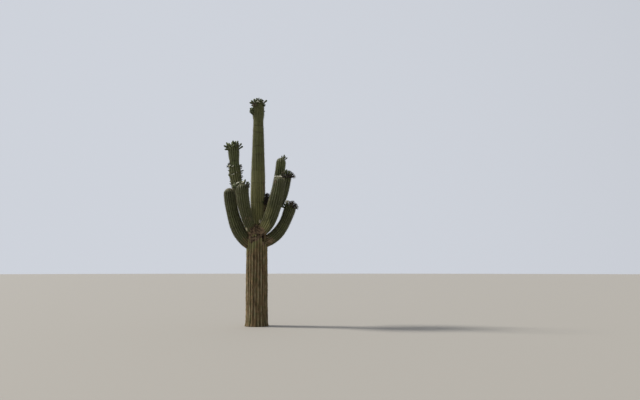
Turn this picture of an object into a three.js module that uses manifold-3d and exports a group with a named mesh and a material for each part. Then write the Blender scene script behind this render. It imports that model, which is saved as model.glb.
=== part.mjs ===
// A saguaro cactus as a scene graph of closed solids: a ribbed trunk, seven arms that bend upwards from
// it, a short stub, and the flower buds and open blooms that crown them.
// Millimetres, +Z up. The origin is the centre of the flat cut under the trunk, at ground level. Seen
// from the front, along +Y, +X is to the right.

import * as THREE from "three";
import { mergeVertices } from "three/addons/utils/BufferGeometryUtils.js";
import Module from "manifold-3d";

const wasm = await Module();
wasm.setup();

const DEGREE = Math.PI / 180;
const UP = new THREE.Vector3(0, 0, 1);

// Trunk: [height, radius over the rib crests], from the flare at the ground to the shoulder of its dome,
// and [height, sideways drift of the axis] for its slight lean. It narrows at the junction of the arms,
// at about 3 m, and again at the waist under its crown.
const TRUNK_TOP = 6930;
const TRUNK_RADIUS = [
  [0, 362],
  [140, 338],
  [1400, 333],
  [2350, 322],
  [2750, 292],
  [3100, 222],
  [4450, 212],
  [5190, 187],
  [6000, 158],
  [6290, 147],
  [6450, 171],
  [6560, 177],
  [6800, 171],
];
const TRUNK_DRIFT = [
  [0, 0],
  [2400, -15],
  [4200, -4],
  [TRUNK_TOP, -20],
];
const TRUNK_RIBS = 22;
const TRUNK_RING_STEP = 330;

// Relief: how deep the furrows between ribs are, as a share of the radius. It fades to CORKY_RELIEF at
// the old corky foot of the trunk, which ends at CORKY_TOP, and to nothing at the pole of each dome.
const FURROW_RELIEF = 0.13;
const CORKY_RELIEF = 0.05;
const CORKY_TOP = 2600;

// Arms: the place where each leaves the trunk (azimuth from +X, height), the way it sets out (rise above
// level), how long it holds each end's direction (bend, as shares of the chord), its tip and its lean
// there, its radius at each share of its length, its number of ribs, and what crowns it.
const ROOT_DISTANCE = 160; // from the trunk's axis to the point where an arm's path begins
const ROOT_SINK = 100; // how much further back an arm's root runs, inside the trunk, before it is cut
const TRUNK_GAP = 0.45; // clearance between an arm and the trunk, along a radius: 0.3 square to a rib
const SPLIT_GAP = 0.3; // clearance between an arm's elbow and its shaft
const SPLIT_AT = 0.4; // share of an arm's length at which its elbow ends
const ARM_RING_STEP = 290;
const DOME_HEIGHT = 0.95; // height of a dome as a share of its radius
const DOME_STEPS = [0.45, 0.82]; // rings on a dome, as shares of its height

const ARMS = {
  left_low_arm: {
    azimuth: 181, height: 2410, rise: 27, bend: [0.29, 0.34],
    tip: [-890, 0, 4168], lean: 5.7, leanAzimuth: 180, ribs: 18,
    radius: [[0, 165], [0.3, 204], [0.65, 184], [1, 167]],
  },
  left_tall_arm: {
    azimuth: 148, height: 3000, rise: 53, bend: [0.41, 0.36],
    tip: [-796, 450, 5630], lean: 4, leanAzimuth: 180, ribs: 16,
    radius: [[0, 136], [0.35, 155], [0.56, 173], [0.67, 190], [0.72, 180], [0.785, 148], [0.87, 167], [0.95, 182]],
    ringStep: 150,
    crown: { buds: 16, blooms: 2, inner: 14, outer: 88, lift: 0.6 },
    collar: { at: 0.715, buds: 8, blooms: 2, inner: 84, outer: 98, lift: 0.5, size: 0.75 },
  },
  left_front_arm: {
    azimuth: -134, height: 2765, rise: 46, bend: [0.33, 0.32],
    tip: [-478, -600, 4235], lean: 1.2, leanAzimuth: 180, ribs: 18,
    radius: [[0, 152], [0.3, 161], [0.65, 180], [1, 189]],
    crown: { buds: 10, blooms: 5, inner: 30, outer: 96, lift: 0.8, size: 1.1, side: 90, spread: 112 },
  },
  right_tall_arm: {
    azimuth: 70, height: 3250, rise: 17, bend: [0.58, 0.53],
    tip: [732, 500, 5230], lean: 5, leanAzimuth: 0, ribs: 14,
    radius: [[0, 126], [0.4, 146], [0.7, 150], [1, 151]],
    crown: { buds: 5, blooms: 0, inner: 36, outer: 60, lift: 0.5, size: 0.9, side: 0, spread: 70 },
  },
  right_front_arm: {
    azimuth: -52, height: 2880, rise: 8, bend: [0.22, 0.31],
    tip: [626, -550, 4450], lean: 2, leanAzimuth: 0, ribs: 18,
    radius: [[0, 175], [0.3, 198], [0.65, 198], [1, 150]],
    crown: { buds: 3, blooms: 7, inner: 38, outer: 62, lift: 0.4, size: 0.95, side: 90, spread: 80 },
  },
  right_slim_arm: {
    azimuth: 20, height: 2955, rise: 61, bend: [0.61, 0.64],
    tip: [930, 200, 4665], lean: 8.5, leanAzimuth: 0, ribs: 12,
    radius: [[0, 97], [0.4, 125], [0.7, 124], [1, 124]],
    crown: { buds: 16, blooms: 1, inner: 10, outer: 84, lift: 1.2, size: 0.95 },
  },
  right_low_arm: {
    azimuth: -5, height: 2495, rise: 20.5, bend: [0.45, 0.28],
    tip: [1035, -80, 3690], lean: 20.5, leanAzimuth: 0, ribs: 17,
    radius: [[0, 166], [0.35, 178], [0.7, 165], [1, 185]],
    crown: { buds: 13, blooms: 4, inner: 8, outer: 70, lift: 0.8 },
  },
  stub: {
    azimuth: -14, height: 3480, rise: 50, bend: [0.35, 0.35],
    tip: [252, -62, 3900], lean: 7, leanAzimuth: -14, ribs: 10, whole: true,
    radius: [[0, 62], [0.5, 66], [1, 72]],
    crown: { buds: 9, blooms: 1, inner: 10, outer: 105, lift: 1.1, size: 0.8 },
  },
};
const TRUNK_CROWN = { buds: 24, blooms: 5, inner: 18, outer: 86, lift: 0.6, size: 1.04 };

// Buds and blooms, as [radius, distance along the stalk] outlines with both ends on the axis.
const BLOOM_SINK = 34; // how far a bud's foot sits inside the skin, below the furrows
const BUD_SIDES = 4;
const BUD_OUTLINE = [[0, 0], [13, 0], [21, 112], [0, 156]];
const BLOOM_SIDES = 6;
const BLOOM_OUTLINE = [[0, 0], [13, 0], [19, 104], [48, 140], [0, 130]];
const GOLDEN_ANGLE = 137.508;
const INNERMOST_SIZE = 0.6; // the young buds near the middle of a crown are the smallest
const OUTERMOST_SIZE = 1.08;

// Colours, as seen in daylight.
const skin = new THREE.MeshStandardMaterial({ color: 0x5c6344, roughness: 0.85, metalness: 0 });
const oldSkin = new THREE.MeshStandardMaterial({ color: 0x6e6247, roughness: 0.92, metalness: 0 });

// Value at x of a smooth curve through [x, value] keys: a cubic with the slopes of its neighbours.
function along(keys, x) {
  const last = keys.length - 1;
  if (x <= keys[0][0]) return keys[0][1];
  if (x >= keys[last][0]) return keys[last][1];
  const i = keys.findIndex(([at]) => at > x) - 1;
  const before = keys[Math.max(i - 1, 0)];
  const from = keys[i];
  const to = keys[i + 1];
  const after = keys[Math.min(i + 2, last)];
  const span = to[0] - from[0];
  const t = (x - from[0]) / span;
  const slopeFrom = ((to[1] - before[1]) / (to[0] - before[0])) * span;
  const slopeTo = ((after[1] - from[1]) / (after[0] - from[0])) * span;
  return new THREE.CubicBezierCurve(
    new THREE.Vector2(0, from[1]),
    new THREE.Vector2(1 / 3, from[1] + slopeFrom / 3),
    new THREE.Vector2(2 / 3, to[1] - slopeTo / 3),
    new THREE.Vector2(1, to[1]),
  ).getPoint(t).y;
}

// Unit vector from an azimuth and a rise above level, in degrees.
function direction(azimuth, rise) {
  return new THREE.Vector3(
    Math.cos(azimuth * DEGREE) * Math.cos(rise * DEGREE),
    Math.sin(azimuth * DEGREE) * Math.cos(rise * DEGREE),
    Math.sin(rise * DEGREE),
  );
}

// Closed skin over a list of rings. Each ring is a star of crests and furrows around its centre, square
// to its heading. The first ring is closed flat, and the last is a single point, or is closed flat too.
function ribbedGeometry(rings, ribs, sideways, swell = 0) {
  const around = 2 * ribs;
  const points = [];
  const faces = [];
  for (const { centre, heading, radius, relief } of rings) {
    const side = sideways.clone().addScaledVector(heading, -sideways.dot(heading)).normalize();
    const front = new THREE.Vector3().crossVectors(heading, side);
    for (let i = 0; i < around; i++) {
      const angle = (Math.PI * i) / ribs;
      const reach = radius * (i % 2 ? 1 - relief : 1) + swell;
      const point = centre.clone().addScaledVector(side, reach * Math.cos(angle));
      points.push(point.addScaledVector(front, reach * Math.sin(angle)));
    }
  }
  const foot = points.push(rings[0].centre) - 1;
  const tip = points.push(rings.at(-1).pole ?? rings.at(-1).centre) - 1;
  const top = (rings.length - 1) * around;
  for (let i = 0; i < around; i++) {
    const next = (i + 1) % around;
    faces.push(foot, next, i, tip, top + i, top + next);
    for (let base = 0; base < top; base += around) {
      faces.push(base + i, base + next, base + around + next);
      faces.push(base + i, base + around + next, base + around + i);
    }
  }
  const geometry = new THREE.BufferGeometry().setFromPoints(points);
  geometry.setIndex(faces);
  return geometry;
}

// Solid of a closed geometry, and the geometry of a solid.
function toSolid(geometry) {
  const bare = geometry.clone();
  bare.deleteAttribute("normal");
  bare.deleteAttribute("uv");
  const merged = mergeVertices(bare);
  return new wasm.Manifold(
    new wasm.Mesh({
      numProp: 3,
      vertProperties: merged.attributes.position.array,
      triVerts: new Uint32Array(merged.index.array),
    }),
  );
}

function toGeometry(solid) {
  const mesh = solid.getMesh();
  const geometry = new THREE.BufferGeometry();
  geometry.setAttribute("position", new THREE.BufferAttribute(mesh.vertProperties, mesh.numProp));
  geometry.setIndex(new THREE.BufferAttribute(mesh.triVerts, 1));
  geometry.computeVertexNormals();
  return geometry;
}

function largestBody(solid) {
  return solid.decompose().sort((a, b) => b.volume() - a.volume())[0];
}

// Rings of a dome that closes over a limb's last ring, ending in its pole.
function domeRings({ centre, heading, radius, relief }) {
  const rise = radius * DOME_HEIGHT;
  const rings = DOME_STEPS.map((step) => ({
    centre: centre.clone().addScaledVector(heading, rise * step),
    heading,
    radius: radius * Math.sqrt(1 - step * step),
    relief: relief * (1 - step * step),
  }));
  rings.at(-1).pole = centre.clone().addScaledVector(heading, rise);
  return rings;
}

// One bud or bloom with its foot at a point, aimed along a direction.
function bloomSolid(outline, sides, size, foot, aim) {
  const geometry = new THREE.LatheGeometry(
    outline.map(([radius, distance]) => new THREE.Vector2(radius, distance).multiplyScalar(size)),
    sides,
  );
  geometry.applyQuaternion(new THREE.Quaternion().setFromUnitVectors(new THREE.Vector3(0, 1, 0), aim));
  geometry.translate(foot.x, foot.y, foot.z);
  return toSolid(geometry);
}

// Fuses a spiral of buds onto a limb around the shoulder ring of its dome. inner and outer are the angles
// from upright between which they stand, where past 90 degrees they go down the limb's side. lift is how
// much they turn upwards from the skin's normal, and a crown on part of a tip has a side, as an azimuth,
// and a spread to either hand of it. Every so often a bud is an open bloom.
function withCrown(solid, shoulder, crown) {
  const { buds, blooms, inner, outer, lift, size = 1, side = 0, spread = 180 } = crown;
  const { centre, heading, radius } = shoulder;
  const count = buds + blooms;
  const pieces = Array.from({ length: count }, (_, k) => {
    const turn = ((k * GOLDEN_ANGLE + 180) % 360) - 180;
    const outwards = Math.sqrt((k + 0.5) / count);
    const polar = inner + (outer - inner) * outwards;
    const below = Math.max(polar - 90, 0) * DEGREE;
    const normal = direction(side + (turn * spread) / 180, 90 - Math.min(polar, 90));
    const foot = centre
      .clone()
      .addScaledVector(normal, radius - BLOOM_SINK)
      .addScaledVector(heading, -radius * below);
    const aim = normal.addScaledVector(UP, lift).normalize();
    const grown = size * THREE.MathUtils.lerp(INNERMOST_SIZE, OUTERMOST_SIZE, outwards);
    const open = Math.floor(((k + 1) * blooms) / count) > Math.floor((k * blooms) / count);
    return open
      ? bloomSolid(BLOOM_OUTLINE, BLOOM_SIDES, grown, foot, aim)
      : bloomSolid(BUD_OUTLINE, BUD_SIDES, grown, foot, aim);
  });
  return largestBody(pieces.reduce((whole, piece) => whole.add(piece), solid));
}

// Ring of the trunk at a height. Its rings stay level, so the cut at the ground is level too.
function trunkRing(z) {
  const grown = THREE.MathUtils.smoothstep(z, 0, CORKY_TOP);
  return {
    centre: new THREE.Vector3(along(TRUNK_DRIFT, z), 0, z),
    heading: UP,
    radius: along(TRUNK_RADIUS, z),
    relief: THREE.MathUtils.lerp(CORKY_RELIEF, FURROW_RELIEF, grown),
  };
}

const TRUNK_SIDEWAYS = new THREE.Vector3(1, 0, 0);
const trunkHeights = TRUNK_RADIUS.flatMap(([z], i) => {
  const next = TRUNK_RADIUS[i + 1]?.[0] ?? z;
  const steps = Math.max(1, Math.round((next - z) / TRUNK_RING_STEP));
  return Array.from({ length: steps }, (_, k) => z + ((next - z) * k) / steps);
});
const trunkShoulder = trunkRing(trunkHeights.at(-1));
const trunkRings = [...trunkHeights.map(trunkRing), ...domeRings(trunkShoulder)];
const bareTrunk = toSolid(ribbedGeometry(trunkRings, TRUNK_RIBS, TRUNK_SIDEWAYS));
const trunkWithGap = toSolid(ribbedGeometry(trunkRings, TRUNK_RIBS, TRUNK_SIDEWAYS, TRUNK_GAP));

const cactus = new THREE.Group();
cactus.name = "saguaro";

const trunk = new THREE.Mesh(
  toGeometry(withCrown(bareTrunk, trunkShoulder, TRUNK_CROWN)),
  oldSkin,
);
trunk.name = "trunk";
cactus.add(trunk);

// Path of an arm: a cubic that leaves the trunk along its rise and ends upright along its lean.
function armPath({ azimuth, height, rise, bend, tip, lean, leanAzimuth }) {
  const start = direction(azimuth, 0).multiplyScalar(ROOT_DISTANCE).setZ(height);
  const end = new THREE.Vector3(...tip);
  const chord = start.distanceTo(end);
  return new THREE.CubicBezierCurve3(
    start,
    start.clone().addScaledVector(direction(azimuth, rise), chord * bend[0]),
    end.clone().addScaledVector(direction(leanAzimuth, 90 - lean), -chord * bend[1]),
    end,
  );
}

// Ring of an arm at a share of its path's length.
function armRing(path, arm, share) {
  return {
    centre: path.getPointAt(share),
    heading: path.getTangentAt(share),
    radius: along(arm.radius, share),
    relief: FURROW_RELIEF,
  };
}

for (const [name, arm] of Object.entries(ARMS)) {
  const path = armPath(arm);
  const length = path.getLength();
  const sideways = direction(arm.azimuth + 90, 0);
  const shoulderAt = 1 - (DOME_HEIGHT * arm.radius.at(-1)[1]) / length;
  const ringsBetween = (from, to) => {
    const steps = Math.ceil(((to - from) * length) / (arm.ringStep ?? ARM_RING_STEP));
    const shares = Array.from({ length: steps + 1 }, (_, k) => from + ((to - from) * k) / steps);
    return shares.map((share) => armRing(path, arm, share));
  };
  const shoulder = armRing(path, arm, shoulderAt);
  const root = armRing(path, arm, 0);
  root.centre.addScaledVector(root.heading, -ROOT_SINK);

  const pieces = {};
  if (arm.whole) {
    const rings = [root, ...ringsBetween(0, shoulderAt), ...domeRings(shoulder)];
    const body = toSolid(ribbedGeometry(rings, arm.ribs, sideways));
    pieces[name] = largestBody(withCrown(body, shoulder, arm.crown).subtract(trunkWithGap));
  } else {
    const halfGap = SPLIT_GAP / 2 / length;
    const elbowRings = [root, ...ringsBetween(0, SPLIT_AT - halfGap)];
    const shaftRings = [...ringsBetween(SPLIT_AT + halfGap, shoulderAt), ...domeRings(shoulder)];
    const elbow = toSolid(ribbedGeometry(elbowRings, arm.ribs, sideways));
    let shaft = toSolid(ribbedGeometry(shaftRings, arm.ribs, sideways));
    if (arm.crown) shaft = withCrown(shaft, shoulder, arm.crown);
    if (arm.collar) shaft = withCrown(shaft, armRing(path, arm, arm.collar.at), arm.collar);
    pieces[`${name}_elbow`] = largestBody(elbow.subtract(trunkWithGap));
    pieces[`${name}_shaft`] = shaft;
  }

  const group = new THREE.Group();
  group.name = name;
  group.position.copy(path.getPointAt(0));
  for (const [piece, solid] of Object.entries(pieces)) {
    const mesh = new THREE.Mesh(toGeometry(solid).translate(...group.position.clone().negate()), skin);
    mesh.name = piece;
    group.add(mesh);
  }
  cactus.add(group);
}

export default cactus;
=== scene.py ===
"""The looks of a saguaro cactus in bloom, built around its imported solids, in a plain pale studio.

Metres, +Z up. The camera looks along +Y, so +X is to the right. The trunk and arms are ribbed skins on
nearly the same axes and radii as the solids. Felt pads and spines sit on the crests of their ribs, and
buds, open flowers and withered flowers crown them.
"""

import math

import bmesh
import bpy
import numpy as np
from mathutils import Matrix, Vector


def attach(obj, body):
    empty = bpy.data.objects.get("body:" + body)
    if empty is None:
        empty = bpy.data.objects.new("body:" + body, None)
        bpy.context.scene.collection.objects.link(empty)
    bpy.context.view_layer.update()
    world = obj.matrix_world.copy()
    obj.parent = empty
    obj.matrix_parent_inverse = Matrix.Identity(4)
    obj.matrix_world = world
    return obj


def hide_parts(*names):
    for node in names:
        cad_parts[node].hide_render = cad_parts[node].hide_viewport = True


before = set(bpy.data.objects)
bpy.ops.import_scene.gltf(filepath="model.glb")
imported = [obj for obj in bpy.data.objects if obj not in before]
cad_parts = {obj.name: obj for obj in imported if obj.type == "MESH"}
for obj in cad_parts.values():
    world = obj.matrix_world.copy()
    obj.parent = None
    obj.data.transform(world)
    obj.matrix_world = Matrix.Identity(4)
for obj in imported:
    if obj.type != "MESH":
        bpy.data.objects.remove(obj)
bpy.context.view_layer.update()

UP = np.array([0.0, 0.0, 1.0])
RIGHT = np.array([1.0, 0.0, 0.0])

# Trunk: (height, radius over the rib crests) and (height, sideways drift of the axis).
TRUNK_TOP = 6.93
TRUNK_RADIUS = (
    (0, 0.362), (0.14, 0.338), (1.4, 0.333), (2.35, 0.322), (2.75, 0.292), (3.1, 0.222),
    (4.45, 0.212), (5.19, 0.187), (6.0, 0.158), (6.29, 0.147), (6.45, 0.171), (6.56, 0.177),
    (6.8, 0.171),
)
TRUNK_DRIFT = ((0, 0), (2.4, -0.015), (4.2, -0.004), (TRUNK_TOP, -0.02))
TRUNK_RIBS = 22
FURROW_RELIEF = 0.13
CORKY_RELIEF = 0.05
CORKY_TOP = 2.6

# Arms: azimuth and height of the root, rise above level there, how long each end holds its direction,
# tip, lean at the tip and the azimuth of that lean, ribs, and (share of length, radius).
ROOT_DISTANCE = 0.16
ROOT_SINK = 0.1
SPLIT_NAMES = ("elbow", "shaft")
PATH_SAMPLES = 400
ARMS = {
    "left_low_arm": {
        "azimuth": 181, "height": 2.41, "rise": 27, "bend": (0.29, 0.34),
        "tip": (-0.89, 0, 4.168), "lean": 5.7, "lean_azimuth": 180, "ribs": 18,
        "radius": ((0, 0.165), (0.3, 0.204), (0.65, 0.184), (1, 0.167)),
    },
    "left_tall_arm": {
        "azimuth": 148, "height": 3.0, "rise": 53, "bend": (0.41, 0.36),
        "tip": (-0.796, 0.45, 5.63), "lean": 4, "lean_azimuth": 180, "ribs": 16,
        "radius": (
            (0, 0.136), (0.35, 0.155), (0.56, 0.173), (0.67, 0.19), (0.72, 0.18), (0.785, 0.148),
            (0.87, 0.167), (0.95, 0.182),
        ),
    },
    "left_front_arm": {
        "azimuth": -134, "height": 2.765, "rise": 46, "bend": (0.33, 0.32),
        "tip": (-0.478, -0.6, 4.235), "lean": 1.2, "lean_azimuth": 180, "ribs": 18,
        "radius": ((0, 0.152), (0.3, 0.161), (0.65, 0.18), (1, 0.189)),
    },
    "right_tall_arm": {
        "azimuth": 70, "height": 3.25, "rise": 17, "bend": (0.58, 0.53),
        "tip": (0.732, 0.5, 5.23), "lean": 5, "lean_azimuth": 0, "ribs": 14,
        "radius": ((0, 0.126), (0.4, 0.146), (0.7, 0.15), (1, 0.151)),
    },
    "right_front_arm": {
        "azimuth": -52, "height": 2.87, "rise": 5, "bend": (0.25, 0.31),
        "tip": (0.626, -0.55, 4.45), "lean": 2, "lean_azimuth": 0, "ribs": 18,
        "radius": ((0, 0.175), (0.3, 0.203), (0.65, 0.198), (1, 0.15)),
    },
    "right_slim_arm": {
        "azimuth": 20, "height": 2.955, "rise": 61, "bend": (0.61, 0.64),
        "tip": (0.93, 0.2, 4.665), "lean": 8.5, "lean_azimuth": 0, "ribs": 12,
        "radius": ((0, 0.097), (0.4, 0.125), (0.7, 0.124), (1, 0.124)),
    },
    "right_low_arm": {
        "azimuth": -5, "height": 2.495, "rise": 20.5, "bend": (0.45, 0.28),
        "tip": (1.035, -0.08, 3.69), "lean": 20.5, "lean_azimuth": 0, "ribs": 17,
        "radius": ((0, 0.172), (0.35, 0.18), (0.7, 0.165), (1, 0.185)),
    },
    "stub": {
        "azimuth": -14, "height": 3.48, "rise": 50, "bend": (0.35, 0.35),
        "tip": (0.252, -0.062, 3.9), "lean": 7, "lean_azimuth": -14, "ribs": 10,
        "radius": ((0, 0.062), (0.5, 0.066), (1, 0.072)),
    },
}

# A tip's dome, by its height over its radius.
DOME_HEIGHT = 0.95

# Skin mesh: columns of points from one crest to the next, and the step between rings, which is half
# the distance between two areoles on a rib.
COLUMNS = 8
RING_STEP = 0.015

# How the skin departs from a plain ribbed shape. Waves are cells of noise in a metre, in all directions
# or round and along the limb. Above the heights of young skin the green is fresher.
CREST_ROUNDNESS = 1.55
RIB_WANDER = 0.16
RIB_VARIETY = 0.16
RIB_WAVES = 1.1
RIB_APART = 3.7
AREOLE_BUMP = 0.0022
AREOLE_WIDTH = 1.6
SWELL = 0.009
SWELL_WAVES = 2.3
FISSURE_DEPTH = 0.007
FISSURE_WAVES = (42, 42, 5)
FINE_FISSURE_WAVES = (90, 90, 24)
SCAR_ROUGHNESS = 0.008
SCAR_WAVES = (34, 80)
YOUNG_SKIN = (4.2, 5.0)

# Slight constrictions where growth paused: heights on the trunk, and shares of an arm's length. They
# waver, fade in places, and sit a little higher from one arm to the next.
# The skin is painted darker in these grooves, as painted shade.
TRUNK_BANDS = (3.72, 4.32, 4.732, 5.19, 5.474, 5.914, 6.131)
ARM_BANDS = (0.36, 0.52, 0.63, 0.78, 0.9)
BAND_STAGGER = 0.013
BAND_DEPTH = 0.004
BAND_WIDTH = 0.028
BAND_WAVER = 0.03
BAND_WAVER_WAVES = 3.5
BAND_FADE_WAVES = (2.5, 2.5, 1.2)

# Near the pole, where the ribs' crests are closer than this, they bear no areoles.
CROWDED = 0.008

# Random draws, and the lattice of numbers that noise is smoothed from. Limbs read it at other places.
SEED = 7
LATTICE_SEED = 5
LATTICE_SIZE = 32
LIMB_SHIFT = 11.3
rng = np.random.default_rng(SEED)
LATTICE = np.random.default_rng(LATTICE_SEED).uniform(-1, 1, (LATTICE_SIZE,) * 3)


def unit(vectors):
    """The vectors at length 1."""
    return vectors / np.linalg.norm(vectors, axis=-1, keepdims=True)


def smoothstep(low, high, x):
    """0 below low, 1 above high, and smooth between. low may be the larger."""
    t = np.clip((x - low) / (high - low), 0, 1)
    return t * t * (3 - 2 * t)


def direction(azimuth, rise):
    """Unit vector from an azimuth and a rise above level, in degrees."""
    a, r = math.radians(azimuth), math.radians(rise)
    return np.array([math.cos(a) * math.cos(r), math.sin(a) * math.cos(r), math.sin(r)])


def along(keys, x):
    """Smooth curve through (x, value) keys: a cubic with the slopes of its neighbours."""
    at, value = np.array(keys, float).T
    x = np.clip(x, at[0], at[-1])
    slope = np.gradient(value, at)
    slope[1:-1] = (value[2:] - value[:-2]) / (at[2:] - at[:-2])
    i = np.clip(np.searchsorted(at, x, side="right") - 1, 0, len(at) - 2)
    span = at[i + 1] - at[i]
    t = (x - at[i]) / span
    start = value[i] * (1 + 2 * t) * (1 - t) ** 2 + slope[i] * span * t * (1 - t) ** 2
    end = value[i + 1] * t * t * (3 - 2 * t) + slope[i + 1] * span * t * t * (t - 1)
    return start + end


def noise(points, waves, shift=0.0):
    """Smooth noise from -1 to 1. shift moves it to another part of the lattice, for another pattern."""
    places = points * np.asarray(waves, float) + shift
    cell = np.floor(places).astype(int)
    t = places - cell
    t = t * t * (3 - 2 * t)
    total = 0
    for corner in np.ndindex(2, 2, 2):
        x, y, z = np.moveaxis((cell + corner) % LATTICE_SIZE, -1, 0)
        weight = np.where(corner, t, 1 - t).prod(-1)
        total = total + LATTICE[x, y, z] * weight
    return total


def mesh_object(name, points, faces, material, values=None, smooth=True):
    """A mesh object from arrays of points and triangles, with named values at its points."""
    mesh = bpy.data.meshes.new(name)
    mesh.vertices.add(len(points))
    mesh.vertices.foreach_set("co", np.ascontiguousarray(points, np.float32).ravel())
    mesh.loops.add(faces.size)
    mesh.polygons.add(len(faces))
    mesh.polygons.foreach_set("loop_start", np.arange(0, faces.size, 3, dtype=np.int32))
    mesh.polygons.foreach_set("vertices", np.ascontiguousarray(faces, np.int32).ravel())
    for key, data in (values or {}).items():
        kind, field = ("FLOAT_VECTOR", "vector") if data.ndim > 1 else ("FLOAT", "value")
        attribute = mesh.attributes.new(key, kind, "POINT")
        attribute.data.foreach_set(field, np.ascontiguousarray(data, np.float32).ravel())
    mesh.update(calc_edges=True)
    mesh.polygons.foreach_set("use_smooth", np.full(len(faces), smooth))
    mesh.materials.append(material)
    made = bpy.data.objects.new(name, mesh)
    bpy.context.scene.collection.objects.link(made)
    return made


def tube_faces(rings, around):
    """Triangles of a closed tube, whose last two points are the ends of its axis."""
    column = np.arange(around)
    after = (column + 1) % around
    base = (np.arange(rings - 1) * around)[:, None]
    a, b = base + column, base + after
    c, d = b + around, a + around
    foot, top = rings * around, (rings - 1) * around
    faces = [
        np.stack([a, b, c], -1).reshape(-1, 3),
        np.stack([a, c, d], -1).reshape(-1, 3),
        np.stack([np.full(around, foot), after, column], -1),
        np.stack([np.full(around, foot + 1), top + column, top + after], -1),
    ]
    return np.vstack(faces)


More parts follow.
